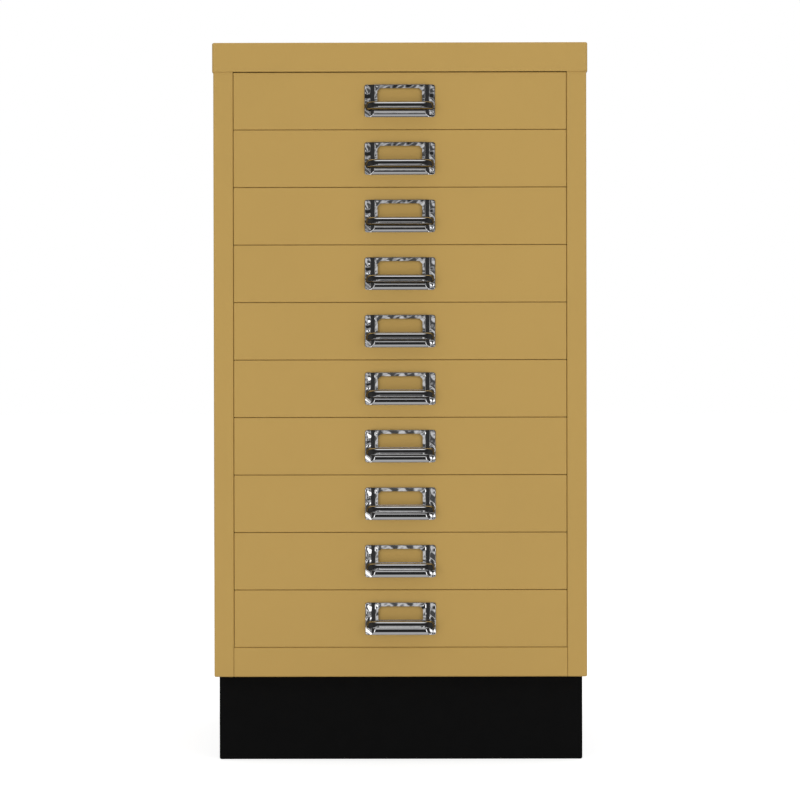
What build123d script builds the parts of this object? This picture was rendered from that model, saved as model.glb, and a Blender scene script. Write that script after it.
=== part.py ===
from build123d import *
from math import atan2, tan
import os

# A steel cabinet of ten shallow drawers, standing on a black plinth.
# X runs across the front, Y runs from front to back and Z is up. The origin is on the floor,
# in the middle of the whole footprint, pulls included. All sizes are in millimetres.

# Drawer spaces and the frame round them
drawer_count = 10
drawer_pitch = 53.5
opening_width = 310.0
stile_width = 18.5
body_depth = 430.0
top_band = 27.5
bottom_band = 27.5

# Casing sheets and folds
cap_sheet = 1.0
side_sheet = 1.0
back_sheet = 0.8
base_sheet = 1.0
fold_radius = 1.5
cap_skirt_gap = 0.5
stile_return = 12.0
rear_return = 17.0
back_flange = 12.0
base_upstand = 12.0
rail_face_return = 13.0
rail_face_lip = 7.0

# Runner frames
upright_sheet = 1.2
upright_width = 30.0
upright_lip = 9.0
upright_fold = 1.8
front_upright_setback = 32.0
rear_upright_setback = 72.0
runner_sheet = 1.2
runner_fold = 1.7
runner_throat = 6.0
runner_rear_gap = 10.0

# Nylon slides: a pad on the front of each runner and a shoe on each rear corner of a tray
pad_thickness = 2.1
pad_length = 18.0
pad_jaw = 1.0
pad_wall = 0.7
shoe_length = 25.0
shoe_chamfer = 0.5
slide_clearance = 0.1
shoe_head_clearance = 0.3
shoe_side_clearance = 0.3
stop_clearance = 0.5

# Drawer fronts
front_sheet = 0.8
front_depth = 15.0
front_fold = 0.9
front_gap = 0.35
front_side_gap = 0.25
front_lip = 12.0
close_stop_gap = 0.4

# Drawer trays
tray_sheet = 0.8
tray_height = 43.0
tray_lift = 3.0
tray_fold = 2.5
tray_rear_gap = 8.0
flange_inset = 1.2
flange_width = 6.8
flange_side_clearance = 1.0
tray_side_clearance = 1.5
tray_back_flange = 5.0

# Pressed pulls with a label frame
pull_sheet = 1.0
pull_width = 65.8
pull_height = 30.4
pull_corner = 2.5
boss_rise = 1.6
boss_run = 3.4
boss_wing = 5.8
boss_foot = 0.6
window_width = 41.6
window_top_margin = 3.6
window_cut = 2.7
hood_drop = 16.6
hood_height = 6.5
hood_width = 63.4
hood_reach = 14.5
hood_end_radius = 12.9
hood_brow_radius = 4.0
hood_sheet = 1.1
hood_strip = 0.5
hood_mouth_radius = 0.9
tab_width = 5.0
tab_reach = 4.0
tab_inset = 0.6
tab_height = 9.5
slot_clearance = 0.15

# Plinth and the bolts that hold the casing on it
plinth_height = 80.0
plinth_side_setback = 3.0
plinth_front_setback = 25.0
plinth_rear_setback = 8.0
plinth_sheet = 1.2
plinth_fold = 2.0
plinth_top_flange = 28.0
plinth_foot_flange = 15.0
bolt_diameter = 6.0
bolt_hole_diameter = 6.6
bolt_head_width = 10.0
bolt_head_height = 4.0
bolt_tail = 2.0
nut_height = 5.0
nut_clearance = 0.05
bolt_edge_distance = 10.5
front_bolt_setback = 92.0
rear_bolt_setback = 110.0

# Planes that the pieces share
half_opening = opening_width / 2
half_body = half_opening + stile_width
half_plinth = half_body - plinth_side_setback
inner_side = half_body - side_sheet
casing_bottom = plinth_height
casing_top = casing_bottom + bottom_band + drawer_count * drawer_pitch + top_band
under_cap = casing_top - cap_sheet
front_y = (hood_reach - body_depth - cap_sheet) / 2
back_y = front_y + body_depth
base_top = casing_bottom + side_sheet + base_sheet
back_panel_y = back_y - side_sheet
pad_y = front_y + front_depth + close_stop_gap

# Widths inside the opening, from the tray flange outwards and inwards
flange_tip = half_opening - flange_inset
tray_wall = flange_tip - flange_width
runner_inner = flange_tip + flange_side_clearance
runner_outer = runner_inner + runner_sheet
runner_tip = tray_wall + tray_side_clearance

# Heights inside one drawer space, from the bottom of the space
flange_top = tray_lift + tray_height
flange_under = flange_top - tray_sheet
runner_floor = flange_under - slide_clearance - pad_thickness
runner_roof = runner_floor + runner_throat

# Lengths of a drawer, from the face of its front
tray_front = front_depth
tray_back = body_depth - side_sheet - back_sheet - tray_rear_gap
runner_start = front_depth + close_stop_gap
runner_end = body_depth - side_sheet - runner_rear_gap
drawer_travel = tray_back - shoe_length - (runner_start + pad_length) - stop_clearance


def block(x0, x1, y0, y1, z0, z1):
    """A box between two corners."""
    return Pos((x0 + x1) / 2, (y0 + y1) / 2, (z0 + z1) / 2) * Box(x1 - x0, y1 - y0, z1 - z0)


def folded(points, sheet, radius, side=Side.LEFT):
    """A face of sheet metal seen end on: its outer line with rounded bends, and its thickness."""
    line = FilletPolyline(*points, radius=radius).wire()
    return make_face(line.offset_2d(sheet, side=side, closed=True))


def rounded_block(width, depth, height, radius):
    """A box centred in plan, standing on Z = 0, with rounded upright edges."""
    return extrude(RectangleRounded(width, depth, radius), height)


def along_y(face, y0, y1):
    """Runs a profile drawn in X and Z from y0 back to y1."""
    return extrude(Plane.XZ.offset(-y1) * face, y1 - y0)


def along_x(face, x0, x1):
    """Runs a profile drawn in Y and Z from x0 across to x1."""
    return extrude(Plane.YZ.offset(x0) * face, x1 - x0)


def mirrored(shape):
    """The left-hand copy of a right-hand piece."""
    return mirror(shape, about=Plane.YZ)


def drawer_spaces():
    """The bottom of each drawer space, the top drawer first."""
    return [casing_bottom + bottom_band + (drawer_count - 1 - i) * drawer_pitch for i in range(drawer_count)]


def bolt_places():
    """Where the four plinth bolts stand, in plan."""
    x = half_plinth - bolt_edge_distance
    return [(sx * x, y) for y in (front_y + front_bolt_setback, back_y - rear_bolt_setback) for sx in (-1, 1)]


def bolt_holes(z0, z1):
    """Clearance holes for the plinth bolts through the sheets between two heights."""
    radius = bolt_hole_diameter / 2
    return [Pos(x, y, (z0 + z1) / 2) * Cylinder(radius, z1 - z0) for x, y in bolt_places()]


def right_side():
    """Side sheet folded round into the front stile and the rear return, closed below by a foot plate."""
    height = under_cap - casing_bottom
    outer = rounded_block(stile_width, body_depth, height, fold_radius)
    outer = fillet(outer.edges().group_by(Axis.Z)[0], fold_radius * 0.9)
    hollow = rounded_block(stile_width - 2 * side_sheet, body_depth - 2 * side_sheet, height,
                           fold_radius - side_sheet)
    edge = -stile_width / 2
    rear = body_depth / 2
    hollow += block(edge - 1, 0, stile_return - rear, rear - side_sheet, 0, height)
    hollow += block(edge - 1, -edge - rear_return, stile_return - rear, rear + 1, 0, height)
    panel = outer - Pos(0, 0, side_sheet) * hollow
    panel = Pos(half_opening - edge, (front_y + back_y) / 2, casing_bottom) * panel
    return panel - bolt_holes(casing_bottom - 1, base_top)


def top_cap():
    """Lid folded down all round, outside the sides."""
    height = top_band - cap_skirt_gap
    outer = rounded_block(2 * half_body + 2 * cap_sheet, body_depth + 2 * cap_sheet, height, fold_radius + cap_sheet)
    outer = fillet(outer.edges().group_by(Axis.Z)[-1], fold_radius)
    inner = rounded_block(2 * half_body, body_depth, height - cap_sheet, fold_radius)
    return Pos(0, (front_y + back_y) / 2, casing_top - height) * (outer - inner)


def top_rail():
    """Cross-member between the stiles, behind the skirt of the lid."""
    low = casing_top - top_band + cap_skirt_gap
    line = (
        (front_y + rail_face_return, under_cap),
        (front_y, under_cap),
        (front_y, low),
        (front_y + rail_face_return, low),
        (front_y + rail_face_return, low + rail_face_lip),
    )
    return along_x(folded(line, side_sheet, fold_radius), -half_opening, half_opening)


def bottom_rail():
    """Face below the last drawer, folded back over the top and in under the base pan."""
    high = casing_bottom + bottom_band
    line = (
        (front_y + rail_face_return, high - rail_face_lip),
        (front_y + rail_face_return, high),
        (front_y, high),
        (front_y, casing_bottom),
        (front_y + stile_return + base_upstand, casing_bottom),
    )
    return along_x(folded(line, side_sheet, fold_radius), -half_opening, half_opening)


def base_pan():
    """Floor sheet on the foot plates, turned up along its front and back edges."""
    z = casing_bottom + side_sheet
    front = front_y + stile_return + side_sheet
    back = back_panel_y - back_flange
    line = (
        (front, z + base_upstand),
        (front, z),
        (back, z),
        (back, z + base_upstand),
    )
    return along_x(folded(line, base_sheet, fold_radius), -inner_side, inner_side) - bolt_holes(z - 1, base_top + 1)


def back_panel():
    """Flat rear sheet set inside the rear returns, flanged forward all round."""
    low = casing_bottom + side_sheet
    height = under_cap - low
    outer = Box(2 * inner_side, back_flange, height)
    outer = fillet(outer.edges().group_by(Axis.Y)[-1], fold_radius)
    inner = Pos(0, -back_sheet) * Box(2 * (inner_side - back_sheet), back_flange, height - 2 * back_sheet)
    return Pos(0, back_panel_y - back_flange / 2, low + height / 2) * (outer - inner)


def right_uprights():
    """Front and rear posts of hat section, standing between the side sheet and the runners."""
    lip_x = inner_side - upright_sheet
    posts = []
    for y in (front_y + front_upright_setback, back_y - rear_upright_setback):
        line = (
            (lip_x, y - upright_lip),
            (lip_x, y),
            (runner_outer, y),
            (runner_outer, y + upright_width),
            (lip_x, y + upright_width),
            (lip_x, y + upright_width + upright_lip),
        )
        face = folded(line, upright_sheet, upright_fold, side=Side.RIGHT)
        posts.append(Pos(0, 0, base_top) * extrude(face, under_cap - base_top))
    return Compound(posts)


def right_runners():
    """Channel-section runners, one for each drawer space, welded to the uprights."""
    line = (
        (runner_tip, runner_floor - runner_sheet),
        (runner_outer, runner_floor - runner_sheet),
        (runner_outer, runner_roof + runner_sheet),
        (runner_tip, runner_roof + runner_sheet),
    )
    runner = along_y(folded(line, runner_sheet, runner_fold), front_y + runner_start, front_y + runner_end)
    return Compound([Pos(0, 0, z) * runner for z in drawer_spaces()])


def runner_pads():
    """Nylon pads clipped round the front of every runner's lower leg. The tray flange slides on them."""
    leg_under = runner_floor - runner_sheet
    nose = runner_tip - pad_wall
    bend = runner_fold - runner_sheet
    outline = Polyline(
        (nose, leg_under - pad_jaw),
        (runner_inner - bend, leg_under - pad_jaw),
        (runner_inner - bend, leg_under),
        (runner_tip, leg_under),
        (runner_tip, runner_floor),
        (runner_inner - bend, runner_floor),
        (runner_inner - bend, runner_floor + pad_thickness),
        (nose, runner_floor + pad_thickness),
        close=True,
    )
    pad = along_y(make_face(outline), pad_y, pad_y + pad_length)
    pair = [pad, mirrored(pad)]
    return Compound([Pos(0, 0, z) * p for z in drawer_spaces() for p in pair])


def drawer_front():
    """Pan-shaped front: a face folded back on four sides, with a lip along the top and the bottom."""
    width = opening_width - 2 * front_side_gap
    height = drawer_pitch - front_gap
    outer = Box(width, front_depth, height)
    outer = fillet(outer.edges().group_by(Axis.Y)[0] + outer.edges().filter_by(Axis.Y), front_fold)
    inner = Box(width - 2 * front_sheet, front_depth - 2 * front_sheet, height - 2 * front_sheet)
    mouth = Box(width - 2 * front_sheet, front_depth, height - 2 * front_lip)
    pan = Pos(0, front_depth / 2, front_gap / 2 + height / 2) * (outer - inner - Pos(0, front_depth / 2) * mouth)
    slot_x = pull_width / 2 - tab_inset - pull_sheet / 2
    slot = Box(pull_sheet + 2 * slot_clearance, 4 * front_sheet, tab_width + 2 * slot_clearance)
    slots = [Pos(sx * slot_x, 0, drawer_pitch / 2 + sz * tab_height) * slot for sx in (-1, 1) for sz in (-1, 1)]
    return Pos(0, front_y) * (pan - slots)


def drawer_tray():
    """Open tray with rounded folds, hung from a flange along each side, with a short flange at the back."""
    length = tray_back - tray_front
    outer = rounded_block(2 * tray_wall, length, tray_height, tray_fold)
    outer = fillet(outer.edges().group_by(Axis.Z)[0], tray_fold * 0.9)
    inner_fold = tray_fold - tray_sheet
    inner = rounded_block(2 * (tray_wall - tray_sheet), length - 2 * tray_sheet, tray_height, inner_fold)
    inner = fillet(inner.edges().group_by(Axis.Z)[0], inner_fold * 0.9)
    shell = outer - Pos(0, 0, tray_sheet) * inner
    z = tray_height - tray_sheet
    straight = length / 2 - tray_fold
    for side in (-1, 1):
        x0, x1 = sorted((side * (tray_wall - tray_sheet / 2), side * flange_tip))
        shell += block(x0, x1, -straight, length / 2, z, tray_height)
    shell += block(tray_fold - tray_wall, tray_wall - tray_fold, length / 2 - tray_sheet / 2,
                   length / 2 + tray_back_flange, z, tray_height)
    return Pos(0, front_y + (tray_front + tray_back) / 2, tray_lift) * shell


def drawer_shoes():
    """Nylon shoes clipped over the rear ends of the tray flanges. They ride inside the runners."""
    x0 = runner_tip
    x1 = runner_inner - shoe_side_clearance
    z0 = runner_floor + slide_clearance
    z1 = runner_roof - shoe_head_clearance
    y1 = front_y + tray_back
    shoe = block(x0, x1, y1 - shoe_length, y1, z0, z1)
    shoe = chamfer(shoe.edges().filter_by(Axis.Y).group_by(Axis.X)[-1], shoe_chamfer)
    shoe -= block(x0 - 1, flange_tip, y1 - shoe_length - 1, y1 + 1, flange_under, flange_top)
    return Compound([shoe, mirrored(shoe)])


def pull_plate():
    """Plate with a raised label frame. Drawn flat: X across, Y up the drawer front and Z outwards."""
    top = pull_height / 2
    wing = pull_width / 2 - boss_wing
    foot = boss_foot - top
    bend = pull_sheet * tan(atan2(boss_rise, boss_run) / 2)

    def frustum(shift, z0, overrun):
        low = Pos(0, (foot + shift + top + overrun) / 2, z0)
        high = Pos(0, (foot + shift + boss_run + top + overrun) / 2, z0 + boss_rise)
        base = Rectangle(2 * (wing - shift), top + overrun - foot - shift)
        crown = Rectangle(2 * (wing - shift - boss_run), top + overrun - foot - shift - boss_run)
        return loft([low * base, high * crown], ruled=True)

    outline = RectangleRounded(pull_width, pull_height, pull_corner)
    plate = extrude(outline, pull_sheet) + Pos(0, 0, pull_sheet) * frustum(0, 0, 0)
    plate -= frustum(bend, 0, 1.0)
    sill = top - hood_drop + hood_strip
    window = Pos(0, (sill + top - window_top_margin) / 2) * Rectangle(window_width, top - window_top_margin - sill)
    window = chamfer(window.vertices().group_by(Axis.Y)[-1], window_cut)
    return plate - extrude(window, pull_sheet + boss_rise + 1)


def hood_blank(inset, base):
    """The hood as a solid: a flat front with round ends, rounded over along the brow."""
    half = hood_width / 2 - inset
    reach = hood_reach - inset
    brow = pull_height / 2 - hood_drop - inset
    plan = make_face(Polyline((-half, base), (half, base), (half, reach), (-half, reach), close=True))
    plan = fillet(plan.vertices().group_by(Axis.Y)[-1], hood_end_radius - inset)
    solid = extrude(Plane.XZ.offset(-brow) * plan, hood_height - inset)
    rim = solid.edges().group_by(Axis.Y)[-1].filter_by(lambda e: e.center().Z > base + 0.01)
    return fillet(rim, hood_brow_radius - inset)


def drawer_pull():
    """One-piece pressed pull: label frame above, hood below to pull by, and four tabs clinched behind the front."""
    plate = pull_plate()
    shell = (plate + hood_blank(0, pull_sheet / 2)) - hood_blank(hood_sheet, -1)
    mouth_y = pull_height / 2 - hood_drop - hood_height
    crown = pull_sheet + boss_rise
    lip = shell.edges().filter_by(Axis.X).filter_by(
        lambda e: abs(e.center().Y - mouth_y) < 0.01 and abs(e.center().Z - crown) < 0.01)
    shell = fillet(lip, hood_mouth_radius)
    leg_x = pull_width / 2 - tab_inset
    for side in (-1, 1):
        for z in (-tab_height, tab_height):
            lo, hi = z - tab_width / 2, z + tab_width / 2
            x0, x1 = sorted((side * (leg_x - pull_sheet), side * leg_x))
            shell += block(x0, x1, lo, hi, -front_sheet - pull_sheet, pull_sheet / 2)
            x0, x1 = sorted((side * (leg_x - tab_reach), side * leg_x))
            shell += block(x0, x1, lo, hi, -front_sheet - pull_sheet, -front_sheet)
    return Pos(0, front_y, drawer_pitch / 2) * (Plane.XZ * shell)


def plinth():
    """Four-sided black base, folded in at the top to carry the casing and at the foot to stand on."""
    depth = body_depth - plinth_front_setback - plinth_rear_setback
    outer = rounded_block(2 * half_plinth, depth, plinth_height, plinth_fold)
    outer = fillet(outer.edges().group_by(Axis.Z)[0], plinth_fold * 0.9)
    hollow = rounded_block(2 * (half_plinth - plinth_sheet), depth - 2 * plinth_sheet,
                           plinth_height - 2 * plinth_sheet, plinth_fold - plinth_sheet)
    mouth = Box(2 * (half_plinth - plinth_top_flange), depth - 2 * plinth_top_flange, plinth_height)
    floor = Box(2 * (half_plinth - plinth_foot_flange), depth - 2 * plinth_foot_flange, plinth_height)
    shell = outer - Pos(0, 0, plinth_sheet) * hollow
    shell = shell - Pos(0, 0, plinth_height) * mouth - floor
    y = (front_y + plinth_front_setback + back_y - plinth_rear_setback) / 2
    return Pos(0, y) * shell - bolt_holes(plinth_height - 5, plinth_height + 1)


def hexagon(height):
    """A hexagonal bolt head or nut blank, standing on Z = 0."""
    return extrude(RegularPolygon(bolt_head_width / 2, 6, major_radius=False), height)


def plinth_bolts():
    """Bolts put in from inside the plinth, up through its flange, the foot plate and the base pan."""
    under = plinth_height - plinth_sheet
    length = base_top - under + nut_height + bolt_tail
    bolt = Pos(0, 0, under - bolt_head_height) * hexagon(bolt_head_height)
    bolt += Pos(0, 0, under + length / 2) * Cylinder(bolt_diameter / 2, length)
    return Compound([Pos(x, y) * bolt for x, y in bolt_places()])


def plinth_nuts():
    """Nuts on the base pan."""
    nut = hexagon(nut_height) - Cylinder(bolt_diameter / 2 + nut_clearance, 3 * nut_height)
    return Compound([Pos(x, y, base_top) * nut for x, y in bolt_places()])


def save(name, shape):
    export_step(shape, f"parts/{name}.step")


os.makedirs("parts", exist_ok=True)

save("top_cap", top_cap())
save("top_rail", top_rail())
save("bottom_rail", bottom_rail())
save("base_pan", base_pan())
save("back_panel", back_panel())
for name, piece in (("side", right_side()), ("uprights", right_uprights()), ("runners", right_runners())):
    save(f"right_{name}", piece)
    save(f"left_{name}", mirrored(piece))
save("runner_pads", runner_pads())
save("plinth", plinth())
save("plinth_bolts", plinth_bolts())
save("plinth_nuts", plinth_nuts())

drawer_pieces = {"front": drawer_front(), "tray": drawer_tray(), "shoes": drawer_shoes(), "pull": drawer_pull()}
for number, space in enumerate(drawer_spaces(), start=1):
    for name, piece in drawer_pieces.items():
        save(f"drawer_{number:02d}_{name}", Pos(0, 0, space) * piece)

print(f"overall height {casing_top:.1f}, drawer travel {drawer_travel:.1f}")
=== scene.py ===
import bpy
import numpy as np
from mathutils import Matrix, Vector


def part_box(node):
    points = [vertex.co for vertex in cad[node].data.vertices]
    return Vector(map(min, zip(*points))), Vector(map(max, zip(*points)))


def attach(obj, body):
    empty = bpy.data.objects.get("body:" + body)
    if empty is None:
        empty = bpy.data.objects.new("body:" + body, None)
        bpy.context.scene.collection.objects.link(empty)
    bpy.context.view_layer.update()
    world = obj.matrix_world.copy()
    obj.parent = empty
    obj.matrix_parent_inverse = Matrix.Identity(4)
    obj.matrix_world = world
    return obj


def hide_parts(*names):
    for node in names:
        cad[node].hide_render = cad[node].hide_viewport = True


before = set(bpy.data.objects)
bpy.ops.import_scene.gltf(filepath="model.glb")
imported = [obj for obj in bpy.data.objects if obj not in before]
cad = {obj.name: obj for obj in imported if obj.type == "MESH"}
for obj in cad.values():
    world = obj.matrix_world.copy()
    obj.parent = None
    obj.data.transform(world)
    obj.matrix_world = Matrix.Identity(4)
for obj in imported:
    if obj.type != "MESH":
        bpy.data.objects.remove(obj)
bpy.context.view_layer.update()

# The room: a pale floor, a white surround and four soft lamps. Bright metal sees none of these but a
# dim studio with a few lit boards, as plated metal does in front of a camera.


def graph_tools(tree):
    """Empties a node tree. Returns a function that adds a node and one that links two sockets."""
    tree.nodes.clear()

    def node(kind, **sockets):
        made = tree.nodes.new("ShaderNode" + kind)
        for key, value in sockets.items():
            made.inputs[key.replace("_", " ")].default_value = value
        return made

    def link(out, into):
        tree.links.new(out, into)

    return node, link


def new_material(name):
    """An empty material. Returns it with its node maker and its linker."""
    material = bpy.data.materials.new(name)
    material.use_nodes = True
    node, link = graph_tools(material.node_tree)
    return material, node, link


def floor_sheet():
    """A flat square under the object, reaching far past the picture.

    To the camera it glows almost white, so that only the object's shadow shows on it. The paint gets
    the light that a white floor throws back, and mirrors look through it.
    """
    reach = 30.0
    corners = np.array([(-1, -1, 0), (1, -1, 0), (1, 1, 0), (-1, 1, 0)], float) * reach
    mesh = bpy.data.meshes.new("floor")
    mesh.from_pydata(corners.tolist(), [], [(0, 1, 2, 3)])
    floor = bpy.data.objects.new("floor", mesh)
    bpy.context.scene.collection.objects.link(floor)

    material, node, link = new_material("floor_white")
    thrown_back = node("BsdfDiffuse", Color=(0.88, 0.88, 0.88, 1))
    shaded = node("BsdfDiffuse", Color=(0.46, 0.46, 0.46, 1))
    glow = node("Emission", Color=(1, 1, 1, 1), Strength=0.745)
    seen = node("AddShader")
    link(shaded.outputs[0], seen.inputs[0])
    link(glow.outputs[0], seen.inputs[1])
    path = node("LightPath")
    choose = node("MixShader")
    link(path.outputs["Is Camera Ray"], choose.inputs[0])
    link(thrown_back.outputs[0], choose.inputs[1])
    link(seen.outputs[0], choose.inputs[2])
    link(choose.outputs[0], node("OutputMaterial").inputs["Surface"])
    mesh.materials.append(material)
    floor.visible_glossy = False


def surround():
    """White to the camera, even light on the paint, and a dim studio for metal.

    The studio hangs on the direction alone: across, along (below 0 ahead of the front) and up, each the
    share of a unit arrow. Ahead of the front stands a patchy grey wall, with a soft lamp high over it and
    a bright board low down on either side. The ground and the far end behind the object are grey and
    the sides nearly black. Each step gives the place where it starts from 0 and the one where it is full.
    """
    paint_light = 0.58
    camera_light = 1.0
    wall_patches, wall_between = 0.60, 0.05
    lamp_light, board_light = 1.1, 1.5
    ground_light, far_light = 0.42, 0.40
    side_light, least_light = 0.012, 0.022

    world = bpy.data.worlds.new("surround")
    world.use_nodes = True
    bpy.context.scene.world = world
    node, link = graph_tools(world.node_tree)

    def fill(socket, value):
        if isinstance(value, float):
            socket.default_value = value
        else:
            link(value, socket)

    def maths(kind, *values):
        made = node("Math")
        made.operation = kind
        for socket, value in zip(made.inputs, values):
            fill(socket, value)
        return made.outputs[0]

    def total(first, *others):
        for other in others:
            first = maths("ADD", first, other)
        return first

    def product(first, *others):
        for other in others:
            first = maths("MULTIPLY", first, other)
        return first

    def gap(value, place):
        return maths("ABSOLUTE", maths("SUBTRACT", value, place))

    def step(value, start, end, light=1.0):
        ramp = node("MapRange", From_Min=start, From_Max=end, To_Min=0.0, To_Max=light)
        ramp.interpolation_type = "SMOOTHSTEP"
        link(value, ramp.inputs["Value"])
        return ramp.outputs["Result"]

    way = node("TexCoord").outputs["Generated"]
    parts = node("SeparateXYZ")
    link(way, parts.inputs[0])
    across, along, up = parts.outputs
    side = gap(across, 0.0)

    patches = node("TexNoise", Scale=5.0, Detail=1.0, Roughness=0.5)
    link(way, patches.inputs["Vector"])
    patchy = total(step(patches.outputs[0], 0.43, 0.62, wall_patches), wall_between)
    wall = product(step(gap(up, 0.01), 0.19, 0.08), step(side, 0.46, 0.22), patchy)
    board_width = product(step(side, 0.06, 0.10), step(side, 0.60, 0.50))
    boards = product(step(gap(up, -0.29), 0.17, 0.14, board_light), board_width)
    lamp = product(step(up, 0.80, 0.92, lamp_light), step(side, 0.36, 0.18))
    ahead = product(total(wall, boards, lamp), step(along, 0.0, -0.4))
    ground = step(up, -0.56, -0.68, ground_light)
    far_end = product(step(along, 0.1, 0.7, far_light), step(up, -0.3, 0.1))
    sides = total(step(side, 0.45, 0.75, side_light), least_light)
    studio = total(ahead, ground, far_end, sides)

    path = node("LightPath")

    def choose(ray, others, these):
        mix = node("Mix")
        mix.data_type = "FLOAT"
        fill(mix.inputs[0], path.outputs[ray])
        fill(mix.inputs[2], others)
        fill(mix.inputs[3], these)
        return mix.outputs[0]

    light = choose("Is Camera Ray", choose("Is Glossy Ray", paint_light, studio), camera_light)
    back = node("Background", Color=(1, 1, 1, 1))
    link(light, back.inputs["Strength"])
    link(back.outputs[0], node("OutputWorld").inputs["Surface"])


def stand(name, data, right, up, forward, place):
    """Stands a lamp or a camera at its place. The three unit arrows turn it, and it looks forward."""
    holder = bpy.data.objects.new(name, data)
    bpy.context.scene.collection.objects.link(holder)
    turn = np.eye(4)
    turn[:3] = np.column_stack([right, up, -forward, place])
    holder.matrix_world = turn.T.tolist()
    return holder


def softbox(name, place, aim, width, height, power):
    """A wide lamp that lights the object and stays out of its reflections."""
    lamp = bpy.data.lights.new(name, "AREA")
    lamp.shape = "RECTANGLE"
    lamp.size = width
    lamp.size_y = height
    lamp.energy = power
    forward = np.array(aim, float) - np.array(place, float)
    forward /= np.linalg.norm(forward)
    right = np.cross(forward, (0.0, 0.0, 1.0))
    right /= np.linalg.norm(right)
    holder = stand(name, lamp, right, np.cross(right, forward), forward, place)
    holder.visible_glossy = False
    holder.visible_camera = False


def photo_camera():
    """The photograph's camera. Yaw turns it about Z, tilt raises it, and roll turns it about its view."""
    yaw, tilt, roll = np.radians((0.208, -0.310, -0.107))
    place = (0.0092, -2.80825, 0.3517)
    focal_pixels = 2795.1
    picture_pixels = 800
    sensor = 36.0
    forward = np.array((-np.sin(yaw) * np.cos(tilt), np.cos(yaw) * np.cos(tilt), np.sin(tilt)))
    level = np.array((np.cos(yaw), np.sin(yaw), 0.0))
    upright = np.cross(level, forward)
    right = np.cos(roll) * level + np.sin(roll) * upright
    up = np.cos(roll) * upright - np.sin(roll) * level
    lens = bpy.data.cameras.new("camera")
    lens.sensor_width = sensor
    lens.lens = focal_pixels / picture_pixels * sensor
    lens.clip_start = 0.05
    lens.clip_end = 100.0
    bpy.context.scene.camera = stand("camera", lens, right, up, forward, place)


floor_sheet()
surround()
softbox("lamp_front_left", (-1.6, -2.6, 1.0), aim=(0, 0, 0.33), width=1.6, height=1.8, power=20.5)
softbox("lamp_front_right", (1.7, -2.5, 0.9), aim=(0, 0, 0.33), width=1.6, height=1.8, power=18)
softbox("lamp_top", (0.1, 0.2, 2.6), aim=(0, 0, 0.3), width=2.2, height=2.2, power=19)
softbox("lamp_back", (0.4, 2.8, 1.6), aim=(0, 0, 0.33), width=1.8, height=1.8, power=18)
photo_camera()
bpy.context.scene.view_settings.view_transform = "Standard"


# Casing and drawers. Folded sheet steel, phosphated and coated with a stoved ochre enamel: a smooth
# satin film with the faint ripple of sprayed paint, the same on every sheet, inside and out.


def enamel(name, colour, roughness, ripple, shine):
    """Sprayed enamel: a colour that drifts by about one part in fifty, satin with a fine ripple.

    The colour times a slow noise, a roughness that drifts with a finer noise, and the ripple as a bump
    from the finest. Shine is how strongly the surface of the film mirrors.
    """
    drift, satin = 0.018, 0.03
    material, node, link = new_material(name)
    place = node("TexCoord").outputs["Object"]

    slow = node("TexNoise", Scale=7.0, Detail=3.0, Roughness=0.5)
    link(place, slow.inputs["Vector"])
    shade = node("MapRange", From_Min=0.3, From_Max=0.7, To_Min=1 - drift, To_Max=1 + drift)
    link(slow.outputs[0], shade.inputs["Value"])
    tint = node("VectorMath")
    tint.operation = "SCALE"
    tint.inputs[0].default_value = colour
    link(shade.outputs["Result"], tint.inputs["Scale"])

    flow = node("TexNoise", Scale=60.0, Detail=2.0)
    link(place, flow.inputs["Vector"])
    sheen = node("MapRange", From_Min=0.3, From_Max=0.7, To_Min=roughness - satin, To_Max=roughness + satin)
    link(flow.outputs[0], sheen.inputs["Value"])

    peel = node("TexNoise", Scale=520.0, Detail=2.0, Roughness=0.45)
    link(place, peel.inputs["Vector"])
    bump = node("Bump", Strength=ripple, Distance=0.00012)
    link(peel.outputs[0], bump.inputs["Height"])

    film = node("BsdfPrincipled", Specular_IOR_Level=shine)
    link(tint.outputs["Vector"], film.inputs["Base Color"])
    link(sheen.outputs["Result"], film.inputs["Roughness"])
    link(bump.outputs["Normal"], film.inputs["Normal"])
    link(film.outputs[0], node("OutputMaterial").inputs["Surface"])
    return material


def finish_nodes(material, *names):
    """Gives the CAD pieces of these names one finish."""
    for name in names:
        mesh = cad[name].data
        mesh.materials.clear()
        mesh.materials.append(material)


drawer_names = sorted(name.removesuffix("_pull") for name in cad if name.endswith("_pull"))
ochre = enamel("ochre_enamel", (0.474, 0.303, 0.085), roughness=0.40, ripple=0.25, shine=0.3)
finish_nodes(ochre, "top_cap", "top_rail", "left_side", "right_side", "back_panel", "base_pan", "bottom_rail")
finish_nodes(ochre, *[name + part for name in drawer_names for part in ("_front", "_tray")])


# Plinth. A box of thicker sheet, folded in at the top and the foot, bolted under the casing and stoved
# in black, a little duller than the casing.

black = enamel("black_enamel", (0.0026, 0.0026, 0.0027), roughness=0.55, ripple=0.40, shine=0.10)
finish_nodes(black, "plinth")


# Uprights, runners, bolts and nuts. Steel pressed or cold-headed and zinc plated: a dull grey metal
# with the cloudy crystal pattern of the plating, brighter on the fasteners.


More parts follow.
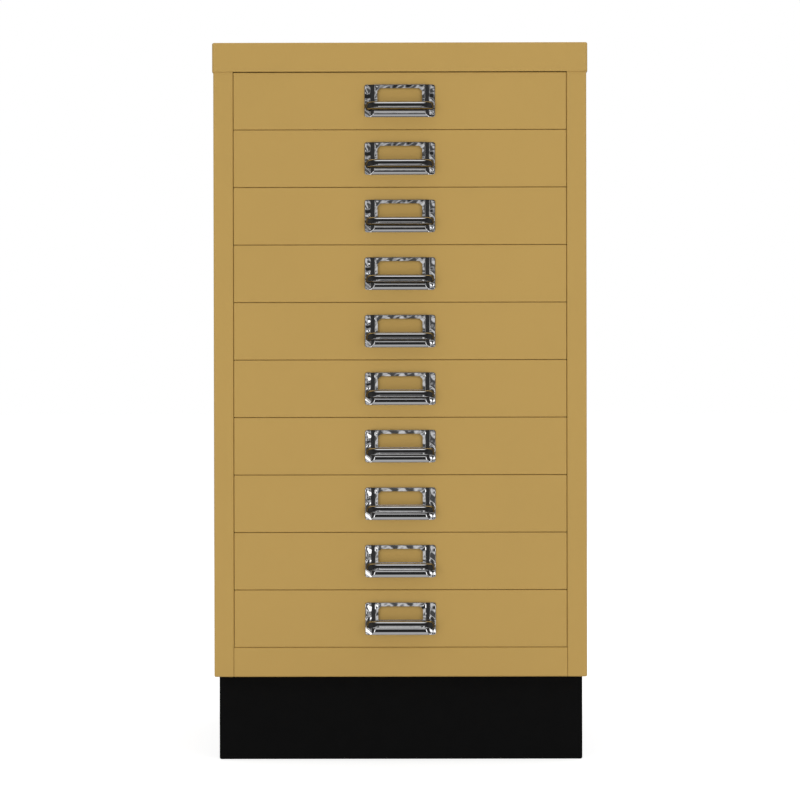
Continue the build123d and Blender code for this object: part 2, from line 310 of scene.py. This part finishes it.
def zinc(name, colour, roughness):
    """Zinc plate: crystals of slightly different grey, and a slow cloud in the gloss and the bump."""
    cloudy = 0.07
    material, node, link = new_material(name)
    place = node("TexCoord").outputs["Object"]

    crystal = node("TexVoronoi", Scale=220.0)
    link(place, crystal.inputs["Vector"])
    grey = node("SeparateColor")
    link(crystal.outputs["Color"], grey.inputs[0])
    shade = node("MapRange", To_Min=0.90, To_Max=1.06)
    link(grey.outputs[0], shade.inputs["Value"])
    tint = node("VectorMath")
    tint.operation = "SCALE"
    tint.inputs[0].default_value = colour
    link(shade.outputs["Result"], tint.inputs["Scale"])

    cloud = node("TexNoise", Scale=35.0, Detail=4.0)
    link(place, cloud.inputs["Vector"])
    matt = node("MapRange", From_Min=0.3, From_Max=0.7, To_Min=roughness - cloudy, To_Max=roughness + cloudy)
    link(cloud.outputs[0], matt.inputs["Value"])
    bump = node("Bump", Strength=0.2, Distance=0.00005)
    link(cloud.outputs[0], bump.inputs["Height"])

    plate = node("BsdfPrincipled", Metallic=1.0)
    link(tint.outputs["Vector"], plate.inputs["Base Color"])
    link(matt.outputs["Result"], plate.inputs["Roughness"])
    link(bump.outputs["Normal"], plate.inputs["Normal"])
    link(plate.outputs[0], node("OutputMaterial").inputs["Surface"])
    return material


dull_zinc = zinc("dull_zinc", (0.56, 0.57, 0.58), roughness=0.42)
bright_zinc = zinc("bright_zinc", (0.62, 0.61, 0.58), roughness=0.27)
finish_nodes(dull_zinc, "left_uprights", "right_uprights", "left_runners", "right_runners")
finish_nodes(bright_zinc, "plinth_bolts", "plinth_nuts")


# Runner pads and drawer shoes. Injection-moulded natural nylon, waxy and slightly see-through,
# clipped on by hand after painting.


def nylon():
    """Natural nylon: milky white with a faint mottle and a fine moulded grain."""
    material, node, link = new_material("natural_nylon")
    place = node("TexCoord").outputs["Object"]

    mottle = node("TexNoise", Scale=90.0, Detail=3.0)
    link(place, mottle.inputs["Vector"])
    milk = node("Mix")
    milk.data_type = "RGBA"
    milk.inputs[6].default_value = (0.74, 0.72, 0.65, 1)
    milk.inputs[7].default_value = (0.84, 0.83, 0.78, 1)
    link(mottle.outputs[0], milk.inputs[0])

    grain = node("TexNoise", Scale=1400.0, Detail=2.0)
    link(place, grain.inputs["Vector"])
    bump = node("Bump", Strength=0.2, Distance=0.00005)
    link(grain.outputs[0], bump.inputs["Height"])

    wax = node("BsdfPrincipled", Roughness=0.42, Subsurface_Weight=0.15, Subsurface_Scale=0.5)
    wax.inputs["Subsurface Radius"].default_value = (0.004, 0.0035, 0.003)
    link(milk.outputs[2], wax.inputs["Base Color"])
    link(bump.outputs["Normal"], wax.inputs["Normal"])
    link(wax.outputs[0], node("OutputMaterial").inputs["Surface"])
    return material


finish_nodes(nylon(), "runner_pads", *[name + "_shoes" for name in drawer_names])


# Pulls. Each is one piece of thin steel, blanked and pressed into a label frame with a hood below it
# to pull by, then plated with bright chromium. Four tabs are clinched behind the drawer front.
# Sizes are in metres, and points in u across the pull, v up it and w out of the drawer front.

plate_sheet = 0.0010
pull_half_u, pull_half_v = 0.0329, 0.0152
corner_round, edge_round = 0.0025, 0.0004
boss_rise, boss_run = 0.0016, 0.0034
boss_foot_u, boss_foot_v = 0.0271, -0.0146
boss_crest_u = boss_foot_u - boss_run
bead_places = (boss_foot_v, -0.0129, -0.0123, -0.0103, -0.0098, -0.0088, -0.0082)
bead_slopes = (0.57, 0.57, 0.13, 0.11, 0.02, -0.06, -0.30)
window_side, window_low, window_high, window_cut = 0.0208, -0.0009, 0.0116, 0.0027
hood_top, hood_rim, hood_wall = -0.0014, -0.0079, 0.0011
hood_half, hood_reach = 0.0317, 0.0145
hood_end_across, hood_end_deep = 0.0129, 0.0068
hood_brow_out, hood_brow_down = 0.0034, 0.0050
lip_width = 0.0008
root_w = 0.0006
just_above = 1e-6


def grid_lines(*stops):
    """Grid lines through the stops: each stop is (place, number of steps from the stop before)."""
    lines = [np.array([stops[0][0]])]
    for (start, _), (end, steps) in zip(stops, stops[1:]):
        lines.append(np.linspace(start, end, steps + 1)[1:])
    return np.concatenate(lines)


def soft_ramp(value, blur):
    """0 below 0 and 1 above 1, with a straight rise between and both bends rounded by blur."""
    return 0.5 * (np.sqrt(value**2 + blur**2) - np.sqrt((value - 1) ** 2 + blur**2) + 1)


def waves(u, v, height, per_u, per_v, start):
    """A train of straight waves: the sine of so many radians a metre across and up."""
    return height * np.sin(u * per_u + v * per_v + start)


def press_marks(u, v):
    """What the press leaves in the sheet: waves, a fall along the top edge and dents.

    Slow crossing waves lie on the label frame and die out on the boss's sides, which are drawn tight.
    Steeper ones lie on the wings. The top edge falls away by the square of its height over the window.
    The dents, where the sheet was drawn in round the hood, and two bulges at the top are bell curves,
    a fifth taller than they are wide.
    """
    frame_foot, frame_rise = -0.0005, 0.0020
    wing_edge, wing_rise = boss_foot_u - 0.0004, 0.0012
    blend = 0.2
    side_middle, side_reach = boss_foot_u - boss_run / 2, 0.0016
    top_fall = 5.0
    taller = 0.7
    dents = (
        (-0.0306, 0.0062, 0.0020, 0.00035),
        (-0.0292, -0.0010, 0.0015, 0.00030),
        (0.0304, -0.0125, 0.0018, 0.00038),
        (-0.0236, 0.0146, 0.0020, -0.00032),
        (0.0236, 0.0146, 0.0020, -0.00032),
    )
    tight = np.exp(-(((np.abs(u) - side_middle) / side_reach) ** 2))
    frame_share = soft_ramp((v - frame_foot) / frame_rise, blend) * (1 - tight)
    wing_share = soft_ramp((np.abs(u) - wing_edge) / wing_rise, blend)
    marks = frame_share * (waves(u, v, 0.00006, 420, 330, 1.3) + waves(u, v, 0.00003, 560, -800, 0))
    marks = marks - top_fall * np.clip(v - window_high, 0, None) ** 2
    marks = marks + wing_share * waves(u, v, 0.00009, 420, 560, 0.6) * (1 + waves(u, v, 0.6, 90, 230, 0))
    for place_u, place_v, radius, depth in dents:
        away = ((u - place_u) ** 2 + taller * (v - place_v) ** 2) / (2 * radius**2)
        marks = marks - depth * np.exp(-away)
    return marks


def frame_height(u, v):
    """Height of the plate's face above the drawer: the sheet, plus a boss with sloped sides.

    The boss rises in straight slopes from both ends and from the foot and runs out open at the top.
    Below the hood it is a bead, the running sum of its slopes: a steep foot, a long easy back and a
    crest just short of the mouth, where the sheet's cut edge rolls over in a quarter round.
    """
    side_blend, bend_blend = 0.08, 0.10
    no_limit = 2.0
    roll_depth, roll_end, roll_fade = 0.0009, 0.0270, 0.0030
    side = (boss_foot_u - np.abs(u)) / boss_run
    line = np.linspace(boss_foot_v, hood_rim, 161)
    slope = np.interp(line, bead_places, bead_slopes)
    climb = np.concatenate([[0], np.cumsum((slope[1:] + slope[:-1]) / 2 * np.diff(line))])
    bead = np.where(v < boss_foot_v, bead_slopes[0] * (v - boss_foot_v), np.interp(v, line, climb))
    foot = np.where(v < hood_rim + just_above, bead / boss_rise, no_limit)
    lower = 0.5 * (side + foot - np.sqrt((side - foot) ** 2 + side_blend**2))
    rise = boss_rise * soft_ramp(lower, bend_blend)
    near_mouth = np.clip(1 - np.abs(v - hood_rim) / lip_width, 0, 1) * (v < hood_rim + just_above)
    roll = roll_depth * (1 - np.sqrt(1 - near_mouth**2))
    roll = roll * soft_ramp((roll_end - np.abs(u)) / roll_fade, bend_blend)
    return plate_sheet + rise - roll + press_marks(u, v)


def edge_drop(u, v):
    """The face's outer edge rolls over in a small quarter round."""
    gap = np.minimum(pull_half_u - np.abs(u), pull_half_v - np.abs(v))
    reach = np.clip(1 - gap / edge_round, 0, 1)
    return edge_round * (1 - np.sqrt(1 - reach**2))


def rounded_corner(u, v):
    """Moves the points of each square corner onto a quarter disc."""
    a = np.clip((np.abs(u) - pull_half_u + corner_round) / corner_round, 0, 1)
    b = np.clip((np.abs(v) - pull_half_v + corner_round) / corner_round, 0, 1)
    disc_u = a * np.sqrt(1 - b**2 / 2)
    disc_v = b * np.sqrt(1 - a**2 / 2)
    return u + np.sign(u) * (disc_u - a) * corner_round, v + np.sign(v) * (disc_v - b) * corner_round


def cut_corner(u, v):
    """Draws the points round the window's upper corners in, onto a slanted cut.

    The corner itself moves half the cut inwards and down. The move falls off evenly along both sides
    of the window as far as the cut reaches, and outwards before the next bend of the sheet.
    """
    side_room, top_room = 0.0029, 0.0036
    from_side = np.abs(u) - window_side
    from_top = v - window_high
    share = np.clip(1 + np.minimum(from_side, 0) / window_cut, 0, 1)
    share = share * np.clip(1 + np.minimum(from_top, 0) / window_cut, 0, 1)
    fade = np.clip(1 - np.maximum(from_side / side_room, from_top / top_room), 0, 1)
    move = window_cut / 2 * share * fade
    return u - np.sign(u) * move, v - move


def plate_shell():
    """The plate as a grid in u and v with the window and the hood's mouth left out, face and back.

    Grid lines crowd where the sheet bends. The back lies one sheet below the face, square to it, and
    four-sided strips close every edge between them. The back and the cut edge at the mouth are made
    rougher and darkened with painted shade.
    """
    crest_bend, foot_bend, brink = 0.0006, 0.0005, 0.0001
    off_the_front = 0.00002
    mouth_dull_shade_fade = 0.0005
    probe = 1e-5
    half_u = grid_lines(
        (0, 1), (window_side - window_cut, 26), (window_side, 7),
        (boss_crest_u - crest_bend, 5), (boss_crest_u + crest_bend, 5),
        (boss_foot_u - foot_bend, 5), (boss_foot_u + foot_bend, 5), (hood_half - hood_wall, 8),
        (pull_half_u - edge_round, 5), (pull_half_u - brink, 2), (pull_half_u, 1),
    )
    us = np.concatenate([-half_u[:0:-1], half_u])
    vs = grid_lines(
        (-pull_half_v, 1), (-pull_half_v + brink, 1), (-pull_half_v + edge_round, 2),
        (bead_places[1], 5), (bead_places[2], 3), (bead_places[3], 5),
        (hood_rim, 9), (hood_top - hood_wall, 5),
        (window_low, 4), (window_high - window_cut, 22), (window_high, 7),
        (pull_half_v - edge_round, 7), (pull_half_v - brink, 2), (pull_half_v, 1),
    )
    u, v = np.meshgrid(us, vs, indexing="ij")
    drawn_u, drawn_v = cut_corner(*rounded_corner(u, v))
    face = frame_height(drawn_u, drawn_v)
    climb_u = frame_height(drawn_u + probe, drawn_v) - frame_height(drawn_u - probe, drawn_v)
    climb_v = frame_height(drawn_u, drawn_v + probe) - frame_height(drawn_u, drawn_v - probe)
    steepness = np.sqrt(1 + (climb_u**2 + climb_v**2) / (2 * probe) ** 2)
    back = np.maximum(face - plate_sheet * steepness, off_the_front)
    face = face - edge_drop(u, v)

    middle_u = np.abs(us[1:] + us[:-1])[:, None] / 2
    middle_v = (vs[1:] + vs[:-1])[None, :] / 2
    window = (middle_u < window_side) & (middle_v > window_low) & (middle_v < window_high)
    mouth = (middle_u < hood_half - hood_wall) & (middle_v > hood_rim) & (middle_v < hood_top - hood_wall)
    solid = ~(window | mouth)
    index = np.arange(u.size).reshape(u.shape)
    a, b, c, d = index[:-1, :-1], index[1:, :-1], index[1:, 1:], index[:-1, 1:]
    quads = [np.stack([a, b, c, d], -1)[solid], np.stack([d, c, b, a], -1)[solid] + u.size]
    beside = np.pad(solid, 1)
    for neighbour, first, second in (
        (beside[:-2, 1:-1], d, a),
        (beside[2:, 1:-1], b, c),
        (beside[1:-1, :-2], a, b),
        (beside[1:-1, 2:], c, d),
    ):
        edge = solid & ~neighbour
        quads.append(np.stack([first[edge] + u.size, second[edge] + u.size, second[edge], first[edge]], -1))

    layers = [np.stack([drawn_u, drawn_v, w], -1).reshape(-1, 3) for w in (face, back)]
    points = np.concatenate(layers)
    # Painted shade: the plate's face darkens towards the mouth's cut edge, and the back is dark all over.
    mouth_dull_shade = np.clip((v - hood_rim + lip_width) / mouth_dull_shade_fade, 0, 1) * (v < hood_rim + just_above)
    mouth_dull_shade = mouth_dull_shade * (np.abs(u) < boss_foot_u)
    dull_shade = np.concatenate([mouth_dull_shade.ravel(), np.ones(u.size)])
    used, corners = np.unique(np.concatenate(quads), return_inverse=True)
    return points[used], [corners.reshape(-1, 4)], dull_shade[used]


def hood_shell():
    """The hood: a closed section carried along a flat-fronted path with rounded ends.

    In plan the path runs out of the plate, round a quarter of an ellipse, straight across, and back the
    same way. Across it the section runs along the top, over the brow in a quarter of an ellipse, down
    the wall, round the rim and back up inside. The top meets the plate in a small fillet, and the rim
    lifts towards both ends. The inside and the roots of the ends are made rougher and darkened with
    painted shade.
    """
    fillet, rim_round = 0.00045, 0.00028
    wall_lean, last_brow_angle, first_rim_angle = 0.00001, 0.06, 0.25
    end_lift, lifted_steps = 0.0016, 7.0
    end_dull_shade_low, end_dull_shade_low_fade = 0.0120, 0.0017
    end_dull_shade_far, end_dull_shade_far_fade = 0.0275, 0.0020

    turn = np.linspace(0, np.pi / 2, 25)
    straight = hood_half - hood_end_across
    front = np.linspace(-straight, straight, 25)[1:-1]
    end_u = -straight - hood_end_across * np.cos(turn)
    end_w = hood_reach - hood_end_deep + hood_end_deep * np.sin(turn)
    facing = np.arctan2(np.sin(turn) * hood_end_across, np.cos(turn) * hood_end_deep)
    path_u = np.concatenate([[-hood_half], end_u, front, -end_u[::-1], [hood_half]])
    path_w = np.concatenate([[root_w], end_w, np.full(front.size, hood_reach), end_w[::-1], [root_w]])
    out_u = np.concatenate([[-1], -np.cos(facing), np.zeros(front.size), np.cos(facing[::-1]), [1]])
    out_w = np.concatenate([[0], np.sin(facing), np.ones(front.size), np.sin(facing[::-1]), [0]])
    from_end = np.minimum(np.arange(path_u.size), np.arange(path_u.size)[::-1])
    rim = hood_rim + end_lift * np.clip(1 - from_end / lifted_steps, 0, 1) ** 2

    top_u = path_u - out_u * hood_brow_out
    top_w = path_w - out_w * hood_brow_out
    plate_w = frame_height(top_u, np.full_like(top_u, hood_top))
    brow = hood_top - hood_brow_down
    rows = []

    def row(u, v, w):
        rows.append(np.stack(np.broadcast_arrays(u, v, w), -1))

    def inset_row(inset, v):
        row(path_u - out_u * inset, v, path_w - out_w * inset)

    row(top_u, hood_top + fillet, root_w)
    for angle in np.linspace(0, np.pi / 2, 6):
        rise = fillet * (1 - np.cos(angle))
        row(top_u, hood_top + fillet * (1 - np.sin(angle)), np.minimum(plate_w + rise, top_w))
    seat_w = rows[-1][:, 2]
    for share in (0.33, 0.6248):
        row(top_u, hood_top, seat_w + (top_w - seat_w) * share)
    for angle in np.linspace(np.pi / 2, last_brow_angle, 15):
        inset_row(hood_brow_out * (1 - np.cos(angle)), brow + hood_brow_down * np.sin(angle))
    inset_row(wall_lean, (rim + brow) / 2)
    first_dull_shade = len(rows)
    for angle in np.linspace(first_rim_angle, np.pi / 2, 5):
        inset_row(rim_round * (1 - np.cos(angle)), rim + rim_round * (1 - np.sin(angle)))
    for angle in np.linspace(np.pi / 2, 0, 4):
        inset_row(hood_wall - rim_round * (1 - np.cos(angle)), rim + rim_round * (1 - np.sin(angle)))
    inset_row(hood_wall, (brow + rim + rim_round) / 2)
    for angle in np.linspace(0, np.pi / 2, 13):
        inside_out = (hood_brow_out - hood_wall) * np.cos(angle)
        inset_row(hood_brow_out - inside_out, brow + (hood_brow_down - hood_wall) * np.sin(angle))
    row(top_u, hood_top - hood_wall, root_w)

    points = np.stack(rows, 1)
    steps, ring = points.shape[:2]
    index = np.arange(steps * ring).reshape(steps, ring)
    after = np.roll(index, -1, axis=1)
    quads = np.stack([index[:-1], after[:-1], after[1:], index[1:]], -1).reshape(-1, 4)
    inside = np.broadcast_to(np.arange(ring) >= first_dull_shade, (steps, ring))
    # Painted shade: the inside, and the roots of the ends low and far out, are darkened.
    low_down = np.clip((end_dull_shade_low - points[..., 2]) / end_dull_shade_low_fade, 0, 1)
    far_out = np.clip((np.abs(points[..., 0]) - end_dull_shade_far) / end_dull_shade_far_fade, 0, 1)
    dull_shade = np.maximum(inside, low_down * far_out).ravel()
    return points.reshape(-1, 3), [quads, index[:1, ::-1], index[-1:]], dull_shade


def tab_shells():
    """Four tabs: a flat strip carried through the drawer front and bent inwards behind it.

    In plan each is a hook of six corners in u and w, drawn out straight in v. Both of its ends are
    closed by two four-sided faces. The first corner is the outer one at the root, inside the plate.
    """
    front_sheet = 0.0008
    bent_sheet = 0.00095
    tab_inset, tab_reach, tab_middle, tab_half = 0.0006, 0.0040, 0.0095, 0.0025
    outer = pull_half_u - tab_inset
    inner = outer - plate_sheet
    back = -front_sheet - plate_sheet
    line_u = np.array([outer, outer, outer - tab_reach, outer - tab_reach, inner, inner])
    line_w = np.array([root_w, back, back, back + bent_sheet, back + bent_sheet, root_w])
    ring = np.arange(6)
    after = (ring + 1) % 6
    ends = np.array([[5, 4, 3, 0], [3, 2, 1, 0]])
    faces = np.concatenate([ends, ends[:, ::-1] + 6, np.stack([ring, after, after + 6, ring + 6], -1)])
    corners, blocks = [], []
    for side in (-1, 1):
        for middle in (-tab_middle, tab_middle):
            blocks.append(faces[:, ::side] + 6 * len(corners))
            for v in (middle - tab_half, middle + tab_half):
                corners.append(np.stack([side * line_u, np.full(6, v), line_w], -1))
    points = np.concatenate(corners)
    return points, blocks, np.zeros(len(points))


def joined(*shells):
    """One list of points, of faces and of dullness with painted shade from shells that each number their own
    points.
    """
    points, blocks, dull_shade = zip(*shells)
    faces = []
    first = 0
    for shell_points, shell_blocks in zip(points, blocks):
        for block in shell_blocks:
            faces += (block + first).tolist()
        first += len(shell_points)
    return np.concatenate(points), faces, np.concatenate(dull_shade)


def chrome():
    """Bright chromium over pressed steel, near mirror, with painted shade: rougher and dark inside the hood,
    round its ends, on the back and at the mouth's edge.

    A point attribute is 1 where the shade is painted. It mixes the bright colour with the dark one and
    adds to the roughness, which otherwise drifts with a slow noise. A faint wave in the sheet is a bump.
    """
    dull_shade_roughness = 0.38
    material, node, link = new_material("bright_chrome")
    place = node("TexCoord").outputs["Object"]

    wave = node("TexNoise", Scale=150.0, Detail=2.0, Roughness=0.5)
    link(place, wave.inputs["Vector"])
    bump = node("Bump", Strength=1.0, Distance=0.000035)
    link(wave.outputs[0], bump.inputs["Height"])
    haze = node("TexNoise", Scale=40.0, Detail=3.0)
    link(place, haze.inputs["Vector"])
    gloss = node("MapRange", From_Min=0.3, From_Max=0.7, To_Min=0.02, To_Max=0.06)
    link(haze.outputs[0], gloss.inputs["Value"])

    hollow = node("Attribute")
    hollow.attribute_name = "hollow"
    painted_shade_tone = node("Mix")
    painted_shade_tone.data_type = "RGBA"
    # The second colour is painted shade: dark chrome where the point attribute is 1.
    painted_shade_tone.inputs[6].default_value = (0.80, 0.80, 0.81, 1)
    painted_shade_tone.inputs[7].default_value = (0.16, 0.16, 0.17, 1)
    link(hollow.outputs["Fac"], painted_shade_tone.inputs[0])
    dulled = node("Math")
    dulled.operation = "MULTIPLY_ADD"
    dulled.inputs[1].default_value = dull_shade_roughness
    link(hollow.outputs["Fac"], dulled.inputs[0])
    link(gloss.outputs["Result"], dulled.inputs[2])

    plate = node("BsdfPrincipled", Metallic=1.0)
    link(painted_shade_tone.outputs[2], plate.inputs["Base Color"])
    link(dulled.outputs[0], plate.inputs["Roughness"])
    link(bump.outputs["Normal"], plate.inputs["Normal"])
    link(plate.outputs[0], node("OutputMaterial").inputs["Surface"])
    return material


def fit_pull(name, points, faces, dull_shade, material):
    """Places the pull on its drawer: u runs across, v up from its middle and w out of the front."""
    low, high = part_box(name + "_pull")
    middle_z = (low[2] + high[2]) / 2
    front_y = low[1] + hood_reach
    placed = np.stack([points[:, 0], front_y - points[:, 2], middle_z + points[:, 1]], -1)
    mesh = bpy.data.meshes.new(name + "_bright_pull")
    mesh.from_pydata(placed.tolist(), [], faces)
    # The attribute carries painted shade: dark, rougher chrome inside the hood, round its ends, on the back
    # and at the mouth.
    mesh.attributes.new("hollow", "FLOAT", "POINT").data.foreach_set("value", dull_shade.astype(np.float32))
    mesh.shade_smooth()
    mesh.set_sharp_from_angle(angle=np.radians(38))
    mesh.materials.append(material)
    pull = bpy.data.objects.new(name + "_bright_pull", mesh)
    bpy.context.scene.collection.objects.link(pull)
    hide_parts(name + "_pull")
    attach(pull, name)


pull_points, pull_faces, pull_dull_shade = joined(plate_shell(), hood_shell(), tab_shells())
bright_chrome = chrome()
for drawer in drawer_names:
    fit_pull(drawer, pull_points, pull_faces, pull_dull_shade, bright_chrome)
